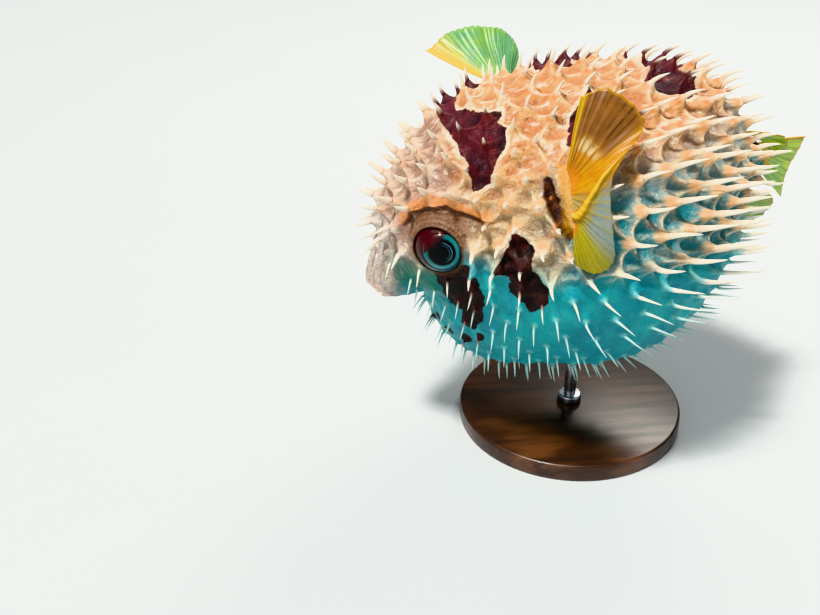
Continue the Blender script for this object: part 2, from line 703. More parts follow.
def featurePoints():  # the eyes, nostrils, mouth, gill slits, brows, round spots and the rod's pit
    eyeRings, nostrilRings, mouthRings = (netSet[k] for k in ("eyeRings", "nostrilRings", "mouthRings"))
    wide, high = mouthOpening
    eye = rings(eyeSet["middle"], np.linspace(*eyeRings), netSet["eyeCount"])
    nostril = rings(nostrilPlace, nostrilRings, netSet["nostrilCount"])
    mouth = rings(mouthSet["middle"], [wide * k for k in mouthRings], netSet["mouthCount"], high / wide)
    gill = besideLine(gillLine, netSet["gillCount"], netSet["gillRows"])
    brow = besideLine(browLine, netSet["browCount"], netSet["browRows"])
    rod = rings(rodAim, netSet["rodRings"], netSet["rodCount"])
    found = [bothSides(eye), bothSides(nostril), mouth, bothSides(gill), bothSides(brow), rod]
    features = [skinPoints(unitOf(np.concatenate(found)))]
    for middle, radius in spots:
        radii = [radius / 1000 * k for k in netSet["spotRings"]]
        spot = rings(np.array(middle) / 1000, radii, netSet["spotCount"])
        features.append(bothSides(skinPoints(unitOf(spot))))
    return np.concatenate(features)


def collarPoints():  # rings round each spine's root, as far as the middle between two spines
    owner, collars = [], []
    for number, root in enumerate(spineRoots):
        found = np.vstack([root, rings(root, netSet["spineRings"], netSet["spineCounts"])])
        owner += [number] * len(found)
        collars.append(found)
    collars = skinPoints(unitOf(np.concatenate(collars)))
    near, away = nearestRoots(collars, 2)
    return collars[(near[:, 0] == owner) & (away[:, 1] - away[:, 0] > netGaps["shared"])]


def netPoints():
    features = featurePoints()
    collars = apart(collarPoints(), features, netGaps["collars"])
    crest, sides = foldPoints()
    crest = apart(crest, np.concatenate([features, collars]), netGaps["crests"])
    net = np.concatenate([features, collars, crest])
    sides = apart(sides, net, netGaps["sides"])
    net = np.concatenate([net, sides])
    face = skinPoints(evenAims(netSet["face"]))
    face = apart(face[face[:, 0] > netSet["faceFrom"]], net, netGaps["sides"])
    body = skinPoints(evenAims(netSet["body"]))
    body = apart(body, np.concatenate([net, face]), netGaps["body"])
    print("net", len(features), len(collars), len(crest), len(sides), len(face), len(body))
    return np.concatenate([net, face, body])


def netFaces(points):  # spread flat from the rod's side of the body, then joined into triangles
    aims = unitOf(points)
    flat = np.stack([aims[:, 1], aims @ np.cross([0, 1, 0], rodAim)], -1) / (1 - aims @ rodAim)[:, None]
    _, _, faces, came, _, _ = delaunay_2d_cdt([Vector(place) for place in flat], [], [], 0, 1e-9)
    order = [found[0] for found in came]
    return [[order[corner] for corner in face] for face in faces], flat


def lumps(points, size, seed, waves=14):  # soft unevenness of one size, about -1 to 1
    chance = np.random.default_rng(seed)
    ways = unitOf(chance.normal(size=(waves, 3))) * 2 * pi / size * chance.uniform(0.7, 1.4, (waves, 1))
    return np.sin(points @ ways.T + chance.uniform(0, 2 * pi, waves)).sum(1) / sqrt(waves)


tentSet = {"share": 0.47, "cheekShare": 0.20, "bellyShare": -0.33, "foot": 0.68, "sleeve": 0.46,
           "upright": 0.7, "around": 0.0006, "ridgeWidth": 0.00034}
reliefSet = {  # heights in metres
    "ridge": 0.0016, "hollow": 0.0014, "inset": 0.0006, "unevenness": 0.00045, "fine": 0.00022,
    "finFoot": 0.0036, "lidBands": 0.00024, "gillSlit": 0.0030, "gillLip": 0.0015, "rodPit": 0.0030,
    "creases": 0.00044, "muzzle": 0.0002,
}
gillFront = ((33, 38, 45, 51, 58), (30, 33, 36, 37, 36))  # heights, and the slit's place at each, in mm
lidSet = {  # radii round the eye's axis, with depth inside the ball or lift over the skin, in millimetres
    "hidden": ((13.2, 13.9, 14.5), (4.0, 2.0, 0.4)),
    "lift": ((14.5, 14.8, 15.3, 15.9, 16.6, 17.3, 18.1, 19.2, 20.6, 22.5),
             (1.5, 2.0, 2.2, 1.6, 0.9, 1.3, 0.7, 0.6, 0.3, 0.0)),
}
browSet = {"across": (-9, -5, -2.2, -0.7, 0.5, 2.0, 5, 9), "lift": (0, -0.9, -1.7, -1.5, 1.3, 1.9, 1.2, 0)}
nostrilShape = ((0, 0.5, 0.8, 1.1, 1.4, 1.9, 2.6, 3.6), (0.5, 0.6, 1.7, 2.1, 1.9, 1.0, 0.4, 0))
lipSet = {"pocket": 0.0085, "lip": 0.0013, "wrinkles": 15, "wrinkleDepth": 0.00022}


def beneath(points):  # 0 above the line where the belly starts, 1 under it
    return ease(0.14 * points[..., 0] - points[..., 2], -0.006, 0.018)


def tentShares(roots):  # how much each spine is a cheek's, and how much of its length its foot covers
    forward, up = roots[:, 0], roots[:, 2]
    cheek = ease(forward, 0.02, 0.05) * (1 - ease(forward, 0.085, 0.105)) * ease(up, -0.02, 0.01)
    cheek = cheek * (1 - ease(up, 0.060, 0.080))
    belly = beneath(roots)
    return cheek, tentSet["share"] + tentSet["cheekShare"] * cheek + tentSet["bellyShare"] * belly


spineNormals = skinNormals(unitOf(spineRoots))
tentLeans = unitOf(spineLeans + tentSet["upright"] * spineNormals)
flatLeans = spineLeans - (spineLeans * spineNormals).sum(1, keepdims=True) * spineNormals


def tents(points):  # the skin drawn up round each spine, and the folds stretched between spines
    near, away = nearestRoots(points)
    cheek, share = tentShares(spineRoots)
    foot = tentSet["foot"] * spineGaps * (1 + 0.15 * cheek)
    rise = share * spineReach
    full = np.clip(1 - np.maximum(away - tentSet["around"], 0) / foot[near], 0, 1)
    sleeve = tentSet["sleeve"]
    lift = (1 - sleeve) * full ** (2.1 - 0.5 * cheek[near]) + sleeve * full**5.5
    moved = (lift * rise[near])[..., None] * tentLeans[near]
    fold = np.zeros(len(points))
    for a, b in ((0, 1), (0, 2), (1, 2)):  # its crest is where the two distances add up to the span
        span = np.linalg.norm(spineRoots[near[:, a]] - spineRoots[near[:, b]], axis=1)
        off = away[:, a] + away[:, b] - span
        fold = np.maximum(fold, np.exp(-off / tentSet["ridgeWidth"]) * (span < 1.55 * spineGaps[near[:, 0]]))
    fold = fold * (0.5 + 0.5 * ease(lumps(points, 0.017, 21), -0.7, 0.7))
    off = points - spineRoots[near[:, 0]]
    front = -(off * flatLeans[near[:, 0]]).sum(1) / np.maximum(away[:, 0], 0.0004)
    return moved.sum(1), lift.max(1), fold, front


def eyeAxes():
    middle, normal = skinSpot(eyeSet["middle"])
    side, top = planeAxes(normal)
    return middle - normal * eyeSet["sink"], side, top, normal


def lidLift(points):  # lift along the eye's axis, millimetres from that axis, and how far over the eye
    ball, _, top, normal = eyeAxes()
    offset = folded(points) - ball
    height = offset @ normal
    flat = offset - height[:, None] * normal
    radius = np.where(height > -0.006, np.linalg.norm(flat, axis=1), 1) * 1000
    across, _, deep = eyeSet["radii"]
    surface = deep * np.sqrt(np.clip(1 - (radius / across / 1000) ** 2, 0, 1))
    inside = surface - np.interp(radius, *lidSet["hidden"]) / 1000 - height
    over = (flat @ top) / np.maximum(radius / 1000, 1e-6)
    lift = np.interp(radius, *lidSet["lift"]) / 1000 * (1 + 0.45 * over)
    rim = lidSet["hidden"][0][-1]
    return np.where(radius < rim, inside, lift), radius, np.clip(over, 0, 1)


def browHeight(points):  # signed distance over the brow's edge, in millimetres, and how much brow there is
    edge = lineDistance(points, browLine)
    line = np.array(browLine, float)[::-1]
    above = points[:, 2] * 1000 - np.interp(points[:, 0] * 1000, line[:, 0], line[:, 2])
    ends = ease(points[:, 0], 0.062, 0.074) * (1 - ease(points[:, 0], 0.113, 0.120))
    return edge * np.sign(above), ends * (points[:, 2] > 0)


def mouthAxes():  # ahead and up, turned down with the mouth
    turn = mouthSet["turn"]
    return np.array([cos(turn), 0, -sin(turn)]), np.array([sin(turn), 0, cos(turn)])


def mouthShape(points):  # the lips and the pocket behind them; 1 is the edge of the opening
    ahead, top = mouthAxes()
    offset = points - mouthSet["middle"]
    across, up = offset[:, 1] / mouthOpening[0], (offset @ top) / mouthOpening[1]
    ring = np.where(offset @ ahead > -0.004, np.hypot(across, up), 9)
    crease = np.sin(np.arctan2(up, across) * lipSet["wrinkles"] + 0.8 * lumps(points, 0.006, 5))
    lips = lipSet["lip"] * np.exp(-(((ring - 1.30) / 0.24) ** 2))
    lips = lips + lipSet["wrinkleDepth"] * crease * np.exp(-(((ring - 1.45) / 0.45) ** 2))
    pocket = lipSet["pocket"] * (1 - ease(ring, 0.70, 1.08))
    return ahead * (lips - pocket)[:, None], ring


def muzzleCreases(points, nostril, lipRing):  # lengthwise creases over the snout and round the lips
    creases = np.sin(np.abs(points[:, 1]) * 2 * pi / 0.0052 + 1.2 * lumps(points, 0.011, 8))
    snout = ease(points[:, 0], 0.112, 0.124) * ease(points[:, 2], -0.012, 0.004) * ease(nostril, 2, 4)
    muzzle = ease(points[:, 0], 0.116, 0.126) * ease(lipRing, 1.5, 2.1) * ease(nostril, 2, 4)
    rough = reliefSet["muzzle"] * lumps(points, 0.0062, 12) * muzzle
    return reliefSet["creases"] * creases * np.maximum(snout, 0.7 * muzzle) + rough


def gillRelief(half, gill):  # a slit with a raised rear edge
    ahead = np.sign(half[:, 0] * 1000 - np.interp(half[:, 2] * 1000, *gillFront))
    slit = reliefSet["gillSlit"] * np.exp(-((gill / 3.0) ** 4))
    return reliefSet["gillLip"] * np.exp(-(((gill * ahead - 4.6) / 1.4) ** 2)) - slit


def dressed(points, normals):  # the finished skin, with what its materials need to know of each point
    moved, tent, fold, front = tents(points)
    lid, eyeRadius, lidTop = lidLift(points)
    mouth, lipRing = mouthShape(points)
    half = folded(points)
    nostril = np.linalg.norm(half - skinSpot(nostrilPlace)[0], axis=1) * 1000
    gill = lineDistance(half, gillLine) + 1.3 * ((half[:, 2] * 1000 - 44) / 14) ** 2
    gill = np.abs(gill + 0.5 * lumps(points, 0.007, 4))
    finBase = lineDistance(half, finRootLine)
    rod = np.linalg.norm(toWorld(points)[:, :2], axis=1) + (points[:, 2] > 0)
    brow, browShare = browHeight(half)
    lidZone = 1 - ease(eyeRadius - 8.0 * lidTop, 15.0, 18.5)
    face, under = ease(points[:, 0], 0.08, 0.11), beneath(points)
    calm = ease(eyeRadius, 16, 23) * ease(lipRing, 1.4, 3.0) * ease(nostril, 2, 5) * ease(rod, 0.006, 0.012)
    hollow = (1 - tent) ** 3 * (1 - fold) * (1 - 0.2 * face)
    bands = np.sin(eyeRadius * 2 * pi / 2.5 + 2.2 * lumps(points, 0.011, 9)) + 0.5 * lumps(points, 0.0035, 10)
    height = reliefSet["ridge"] * fold * (1 - 0.1 * face) - reliefSet["hollow"] * hollow
    height *= (1 - 0.95 * under) * calm
    height += np.interp(brow, browSet["across"], browSet["lift"]) / 1000 * browShare
    height += reliefSet["lidBands"] * bands * lidZone * ease(eyeRadius, 16.0, 17.5) * (brow < 0)
    uneven = reliefSet["unevenness"] * lumps(points, 0.013, 2) * (1 - 0.6 * under)
    height += (uneven - reliefSet["inset"]) * calm
    height += reliefSet["fine"] * lumps(points, 0.0048, 3) * (0.4 + 0.6 * calm) * (1 - 0.5 * under)
    height += np.interp(nostril, *nostrilShape) / 1000
    height += reliefSet["finFoot"] * np.exp(-((finBase / 3.4) ** 2)) + gillRelief(half, gill)
    height -= reliefSet["rodPit"] * (1 - ease(rod, 0.0040, 0.0060))
    height += muzzleCreases(points, nostril, lipRing)
    eyeAxis = eyeAxes()[3] * np.stack([np.ones(len(points)), np.sign(points[:, 1]), np.ones(len(points))], -1)
    places = points + normals * height[:, None] + moved * calm[:, None] + eyeAxis * lid[:, None] + mouth
    values = {"bodyPlace": points, "tent": tent, "fold": fold, "front": front, "blotch": blotchDepth(points),
              "brow": np.where(browShare > 0, brow, 99), "browShare": browShare, "lidZone": lidZone,
              "eyeRadius": eyeRadius, "lipRing": lipRing, "axil": axilDistance(points), "gill": gill,
              "finBase": finBase, "nostril": nostril}
    return places, values


def closedOver(points, faces, flat):  # fills the gap left at the far end of the flat net
    outermost = np.argsort(-np.linalg.norm(flat, axis=1))[:netSet["rodCount"]]
    outermost = outermost[np.argsort(np.arctan2(flat[outermost, 1], flat[outermost, 0]))]
    fan = [[int(a), int(b), len(points)] for a, b in zip(outermost, np.roll(outermost, -1))]
    return np.vstack([points, points[outermost].mean(0)]), faces + fan


def makeSkin():  # one closed mesh in place of the head, back, belly and tail root
    points = netPoints()
    points, faces = closedOver(points, *netFaces(points))
    places, values = dressed(points, skinNormals(unitOf(points)))
    mesh = bpy.data.meshes.new("fish_skin")
    mesh.from_pydata(toWorld(places).tolist(), [], faces)
    skin = bpy.data.objects.new("fish_skin", mesh)
    bpy.context.scene.collection.objects.link(skin)
    for name, value in values.items():
        keepValues(skin, name, value)
    facesOut(skin)
    bpy.ops.object.shade_smooth()
    print("skin", len(mesh.polygons), "triangles")
    return skin


# the bare spines that stand out of the skin

spineShape = {"sides": 8, "cuts": (0.12, 0.26, 0.42, 0.60, 0.78, 0.92),
              "widths": (1.0, 0.96, 0.88, 0.76, 0.60, 0.40, 0.20, 0.0),
              "radius": 0.00140, "stoutFace": 0.3, "sunk": 0.35, "bend": 0.04, "follow": 1.25, "seed": 11,
              "patch": 0.0015}


def modelSpine():  # one spine a unit high, from a cone cut into rings
    clearPick()
    bpy.ops.mesh.primitive_cone_add(vertices=spineShape["sides"], radius1=1, radius2=0, depth=1,
                                    location=(0, 0, 0.5))
    spine = named("spine_model")
    settle(spine)
    bpy.ops.object.mode_set(mode="EDIT")
    for height in spineShape["cuts"]:
        bpy.ops.mesh.select_all(action="SELECT")
        bpy.ops.mesh.bisect(plane_co=(0, 0, height), plane_no=(0, 0, 1))
    bpy.ops.object.mode_set(mode="OBJECT")
    places = vertexPlaces(spine)
    cone = np.maximum(1 - places[:, 2:], 1e-6)
    wide = np.interp(places[:, 2], (0, *spineShape["cuts"], 1), spineShape["widths"])[:, None]
    places[:, :2] = places[:, :2] / cone * wide
    moveVertices(spine, places)
    return spine


def bakePatch(root, shape):  # a small patch of the bake map at the root's longitude and latitude
    aim = unitOf(root)
    home = np.array([0.5 + atan2(aim[1], aim[0]) / (2 * pi), 0.5 + np.arcsin(aim[2]) / pi])
    return home + unitOf(shape[:, :2] + 1e-9) * (1 - 0.95 * shape[:, 2:]) * spineShape["patch"]


def growSpine(model, shape, corners, number, radius, tentTop, sway):  # a bent copy of the model on its root
    root, lean, reach = spineRoots[number], spineLeans[number], spineReach[number]
    side, top = planeAxes(lean)
    start, tip = root + tentTop * (1 - spineShape["sunk"]), root + lean * reach
    turn = root + tentTop * spineShape["follow"] + sway[0] * side + sway[1] * top
    z = shape[:, 2:]
    places = (1 - z) ** 2 * start + 2 * z * (1 - z) * turn + z * z * tip
    places = places + radius * (shape[:, :1] * side + shape[:, 1:2] * top)
    spine = bpy.data.objects.new(f"spine_{number}", model.data.copy())
    bpy.context.scene.collection.objects.link(spine)
    moveVertices(spine, toWorld(places))
    layer = spine.data.uv_layers.active or spine.data.uv_layers.new()
    layer.name = "OFBake"
    layer.data.foreach_set("uv", bakePatch(root, shape)[corners].astype(np.float32).ravel())
    return spine


def makeSpines():
    model = modelSpine()
    shape = vertexPlaces(model)
    corners = np.empty(len(model.data.loops), np.int32)
    model.data.loops.foreach_get("vertex_index", corners)
    _, share = tentShares(spineRoots)
    blotch = blotchDepth(spineRoots)
    face = ease(spineRoots[:, 0], 0.06, 0.10) * ease(spineRoots[:, 2], -0.01, 0.02)
    radii = spineShape["radius"] * (spineReach / 0.014) ** 0.45 * (1 - 0.35 * beneath(spineRoots))
    radii = radii * (1 + spineShape["stoutFace"] * face)
    chance = np.random.default_rng(spineShape["seed"])
    ones = np.ones(len(shape))
    copies = []
    for number, (root, reach) in enumerate(zip(spineRoots, spineReach)):
        sway = chance.normal(0, spineShape["bend"], 2) * reach
        tentTop = share[number] * reach * tentLeans[number]
        spine = growSpine(model, shape, corners, number, radii[number], tentTop, sway)
        keepValues(spine, "bodyPlace", ones[:, None] * root)
        keepValues(spine, "blotch", ones * blotch[number])
        keepValues(spine, "along", shape[:, 2])
        copies.append(spine)
    clearPick()
    bpy.data.objects.remove(model)
    for spine in copies:
        spine.select_set(True)
    bpy.context.view_layer.objects.active = copies[0]
    bpy.ops.object.join()
    spines = named("fish_spines")
    facesOut(spines)
    bpy.ops.object.shade_smooth()
    print("spines", len(spines.data.polygons), "faces")
    return spines


# the colours that skin and spines share


def bodyColours():
    group, given, result = newGroup(
        "fish_colours",
        [("Place", "Vector"), ("Blotch", "Float"), ("Tent", "Float"), ("Fold", "Float"), ("Front", "Float")],
        [("Colour", "Color"), ("Blotch", "Float"), ("Belly", "Float")])
    place, blotch, tent, fold, front = (given[k] for k in ("Place", "Blotch", "Tent", "Fold", "Front"))
    forward, _, up = node("SeparateXYZ", {0: place}).outputs
    soft, fine, mottle = noise(place, 32, 4, 0.55), noise(place, 260, 5, 0.6), noise(place, 560, 5, 0.65)
    streaks = noise(node("Mapping", {0: place, 3: (0.42, 1.0, 0.8)}).outputs[0], 185, 6, 0.66)  # lengthwise
    level = scaled(minus(soft, 0.5), 0.020, scaled(forward, -0.14, up))  # height, with the nose-down turn
    muzzle, face = step(forward, 0.120, 0.131), step(forward, 0.070, 0.095)
    belly = times(step(plus(level, step(forward, 0.084, 0.116, 0, 0.013)), 0.014, -0.008), minus(1.0, muzzle))
    flank = times(step(up, 0.074, 0.046), step(forward, 0.06, 0.02))
    cheek = times(step(forward, 0.020, 0.050), step(up, 0.064, 0.044))
    sunken = scaled(times(flank, step(level, 0.052, 0.016)), -0.55, 1.0)  # low down, into the blue
    crest = times(larger(step(tent, 0.05, 0.44), times(fold, 0.75)), sunken)
    # the hollows are cool on the flank, and the folds warm
    cool = painted(mixed(soft, tone(112, 136, 144), tone(170, 172, 160)),
                   (step(level, 0.068, 0.030), tone(22, 126, 138)))
    hollow = painted(mixed(fine, tone(214, 146, 86), tone(164, 106, 74)),
                     (flank, cool), (times(cheek, 0.8), tone(160, 140, 108)))
    warm = painted(mixed(step(soft, 0.40, 0.62), tone(254, 226, 168), tone(244, 184, 104)),
                   (flank, tone(228, 190, 136)), (times(cheek, 0.8), tone(232, 212, 168)))
    # the stretched front of each foot is orange, its back lies in the shade and its top is cream
    foot = times(step(tent, 0.16, 0.42), step(level, 0.004, 0.026))
    behind = times(step(tent, 0.05, 0.22), step(tent, 0.80, 0.50), step(front, -0.10, -0.55, 0, 0.7))
    skin = painted(mixed(crest, hollow, warm),
                   (step(fold, 0.55, 0.95, 0, 0.55), tone(255, 238, 208)),
                   (times(foot, step(front, -0.35, 0.55, 0.25, 0.95)),
                    mixed(flank, tone(236, 148, 72), tone(240, 186, 132))),
                   (behind, mixed(flank, tone(140, 84, 56), tone(112, 130, 136))),
                   (step(tent, 0.44, 0.74, 0, 0.85), tone(252, 234, 204)))
    forehead = painted(mixed(step(fine, 0.35, 0.65), tone(214, 192, 178), tone(250, 242, 234)),
                       (step(soft, 0.45, 0.60, 0, 0.6), tone(216, 180, 150)),
                       (times(minus(1.0, crest), 0.9), tone(142, 112, 98)),
                       (step(tent, 0.30, 0.65, 0, 0.6), tone(255, 247, 236)),
                       (times(foot, 0.35), tone(240, 190, 130)))
    rough = scaled(larger(flank, times(cheek, 0.6)), -0.7, 1.0)
    skin = painted(skin, (times(face, 0.9), forehead), (times(muzzle, 0.7), tone(196, 192, 182)),
                   (times(step(streaks, 0.46, 0.34, 0, 0.8), rough), tone(150, 90, 58)),
                   (times(step(streaks, 0.54, 0.66, 0, 0.85), rough), tone(255, 244, 222)),
                   (times(step(mottle, 0.46, 0.30, 0, 0.25), rough), tone(120, 78, 56)),
                   (step(mottle, 0.56, 0.72, 0, 0.35), tone(255, 244, 226)))
    throat = times(step(forward, 0.088, 0.104), step(level, -0.044, -0.026), 0.85)
    aqua = painted(mixed(step(soft, 0.35, 0.65), tone(0, 134, 150), tone(10, 166, 170)),
                   (step(level, -0.012, -0.075, 0, 0.45), tone(4, 104, 122)),
                   (step(noise(place, 85, 4, 0.6), 0.42, 0.70, 0, 0.35), tone(70, 190, 190)),
                   (step(mottle, 0.48, 0.34, 0, 0.25), tone(6, 92, 104)),
                   (times(step(tent, 0.3, 0.9), 0.6), tone(150, 214, 208)),
                   (throat, mixed(fine, tone(10, 84, 62), tone(24, 118, 96))))
    # dark blotches with ragged edges, red-brown above and near black below, with a pale rim
    ragged = scaled(minus(fine, 0.5), 1.6, scaled(minus(noise(place, 150, 3, 0.6), 0.5), 5.0, blotch))
    dark = step(ragged, -0.25, 0.55)
    rim = times(minus(step(ragged, -3.4, -1.2), dark), step(level, 0.006, 0.024, 0.0, 0.9),
                step(noise(place, 75), 0.38, 0.56, 0.25, 1.0))
    cloud = step(soft, 0.35, 0.65)
    ink = painted(mixed(cloud, tone(8, 6, 8), tone(24, 13, 14)),
                  (step(up, 0.020, 0.055), mixed(cloud, tone(38, 10, 24), tone(86, 27, 42))),
                  (times(step(streaks, 0.52, 0.66), step(up, 0.005, 0.055, 0.08, 0.42)), tone(140, 62, 62)),
                  (step(streaks, 0.46, 0.34, 0, 0.6), tone(24, 8, 18)),
                  (times(crest, step(up, 0.0, 0.04, 0.06, 0.24)), tone(132, 54, 54)))
    link(painted(skin, (belly, aqua), (rim, tone(250, 240, 216)), (dark, ink)), result["Colour"])
    link(dark, result["Blotch"])
    link(belly, result["Belly"])
    return group


def skinMaterial(colours):
    material, shader = newMaterial("fish_skin", Subsurface_Weight=0.10, Subsurface_Scale=0.004,
                                   Subsurface_Radius=(1.0, 0.5, 0.35), Specular_IOR_Level=0.4,
                                   Coat_Weight=0.04, Coat_Roughness=0.25)
    place = attribute("bodyPlace", 1)
    given = {name: attribute(name.lower()) for name in ("Blotch", "Tent", "Fold", "Front")}
    found = node("Group", {"Place": place, **given}, node_tree=colours).outputs
    muzzle = step(node("SeparateXYZ", {0: place}).outputs[0], 0.110, 0.124)
    wrinkles = noise(node("Mapping", {0: place, 3: (1.0, 1.0, 0.22)}).outputs[0], 330, 3, 0.55)  # upright
    browEdge, browShare = attribute("brow"), attribute("browShare")
    brow = plus(browEdge, times(minus(noise(place, 90, 1), 0.5), 1.2))
    eye, lidZone = attribute("eyeRadius"), attribute("lidZone")
    lidRings = math("SINE", scaled(noise(place, 85, 2), 9.0, times(eye, 2.3)))
    lid = painted(mixed(step(lidRings, -1.0, 1.0), tone(92, 60, 42), tone(124, 88, 62)),
                  (step(noise(place, 300, 4), 0.35, 0.7, 0, 0.4), tone(160, 124, 94)))
    lips, gill = attribute("lipRing"), attribute("gill")
    slit = painted(mixed(step(noise(place, 210, 3), 0.4, 0.6), tone(34, 18, 16), tone(84, 44, 28)),
                   (step(noise(place, 170, 1), 0.60, 0.66, 0, 0.8), tone(196, 118, 40)))
    slitEdge = plus(gill, times(minus(noise(place, 130), 0.5), 1.5))
    pores = node("TexVoronoi", {"Vector": place, "Scale": 900.0}).outputs["Distance"]
    colour = painted(
        found["Colour"],
        (times(muzzle, step(wrinkles, 0.50, 0.36, 0, 0.6)), tone(150, 124, 112)),
        (times(step(brow, 7.5, 3.0), step(brow, -0.8, 0.4), browShare, 0.7), tone(232, 146, 66)),
        (times(lidZone, 0.85), lid),
        (times(step(browEdge, -14, -2.0), browShare, step(browEdge, 0.8, -0.2, 0, 0.55)), tone(112, 74, 50)),
        (times(step(brow, -4.0, -1.2), browShare, step(browEdge, 1.2, 0.2, 0, 0.75)), tone(78, 34, 24)),
        (step(eye, 16.4, 14.9, 0, 0.95), tone(36, 22, 20)),
        (step(lips, 1.9, 1.2, 0, 0.7), tone(228, 190, 180)),
        (step(attribute("axil"), 2.8, 1.7, 0, 0.92), tone(26, 14, 20)),
        (step(lips, 1.0, 0.6), tone(84, 30, 34)),
        (step(attribute("nostril"), 0.75, 0.45), tone(54, 30, 30)),
        (step(slitEdge, 4.6, 2.8), slit),
        (step(attribute("finBase"), 9.0, 3.0, 0, 0.65), tone(232, 168, 40)),
        (step(pores, 0.15, 0.6, 0.12, 0), tone(70, 50, 50)))
    link(colour, shader["Base Color"])
    dull = larger(found["Blotch"], step(gill, 3.5, 2.0))
    link(scaled(dull, 0.12, step(noise(place, 90), 0.3, 0.7, 0.44, 0.60)), shader["Roughness"])
    drift = node("TexNoise", {"Vector": place, "Scale": 120.0, "Detail": 3.0}).outputs[1]
    sway = {0: drift, 1: (0.012, 0.012, 0.012), 2: place}
    bent = node("VectorMath", sway, operation="MULTIPLY_ADD").outputs[0]
    cells = node("TexVoronoi", {"Vector": bent, "Scale": 210.0}, feature="DISTANCE_TO_EDGE").outputs[0]
    relief = None
    for height, distance, strength in (
            (times(noise(place, 150, 6, 0.7), minus(1.0, times(muzzle, 0.8))), 0.0022, 0.55),
            (times(wrinkles, muzzle), 0.0014, 0.7),
            (times(step(cells, 0.0, 0.22), step(found["Belly"], 0.2, 0.9, 0.8, 0.25)), 0.0005, 0.7),
            (noise(place, 420, 5, 0.62), 0.0009, 0.4), (times(lidRings, lidZone), 0.00022, 0.6),
            (pores, 0.00025, 0.5)):
        relief = bump(height, distance, strength, relief)
    link(relief, shader["Normal"])
    return material


def spineMaterial(colours):
    material, shader = newMaterial("spine_bone", Subsurface_Weight=0.08, Subsurface_Scale=0.002)
    place, along = attribute("bodyPlace", 1), attribute("along")
    given = {"Place": place, "Blotch": attribute("blotch"), "Tent": 1.0, "Fold": 0.0, "Front": 0.0}
    found = node("Group", given, node_tree=colours).outputs
    forward, _, up = node("SeparateXYZ", {0: place}).outputs
    low = step(scaled(forward, -0.14, up), 0.002, -0.042, 0, 0.65)
    bone = painted(mixed(noise(objectPlace(), 700), tone(238, 226, 200), tone(252, 248, 236)),
                   (low, tone(104, 192, 196)))
    bloom = times(found["Blotch"], step(along, 0.30, 0.75, 0.75, 0))
    colour = painted(found["Colour"], (step(along, 0.10, 0.42), bone), (bloom, tone(92, 40, 36)))
    link(colour, shader["Base Color"])
    link(step(along, 0.1, 0.6, 0.45, 0.30), shader["Roughness"])
    link(bump(noise(objectPlace(), 1400), 0.0003, 0.3), shader["Normal"])
    return material


# eyes

irisSet = {"side": 0.00526, "top": 0.00129, "radius": 11.0, "angle": 41, "bulge": 0.0006, "sunk": 0.0005}


def makeEye(side):
    clearPick()
    bpy.ops.mesh.primitive_uv_sphere_add(segments=96, ring_count=72, radius=1)
    eye = named("eyeball_" + ("left" if side > 0 else "right"))
    ball, rear, top, out = eyeAxes()
    radii = np.array(eyeSet["radii"])
    gaze = np.array([irisSet["side"], irisSet["top"]]) / radii[:2]
    gaze = np.array([*gaze, sqrt(1 - gaze @ gaze)])
    across, up = planeAxes(gaze, (0, 1, 0))
    local = vertexPlaces(eye)
    angle = np.arccos(np.clip(local[:, 2], -1, 1))
    radius = np.degrees(angle) / irisSet["angle"] * irisSet["radius"]
    shape = local[:, :1] * across + local[:, 1:2] * up + local[:, 2:] * gaze
    swell = irisSet["bulge"] * (1 - ease(radius, 9.0, 14.5))
    swell = swell - irisSet["sunk"] * np.exp(-(((radius - 13.0) / 0.5) ** 2))
    places = shape * (radii + swell[:, None])
    places = ball + places[:, :1] * rear + places[:, 1:2] * top + places[:, 2:] * out
    moveVertices(eye, toWorld(places * [1, side, 1]))
    turn = np.arctan2(local[:, 1], local[:, 0])
    keepValues(eye, "irisPlace", np.stack([radius * np.cos(turn), radius * np.sin(turn), radius], -1))
    facesOut(eye)
    bpy.ops.object.shade_smooth()
    return eye


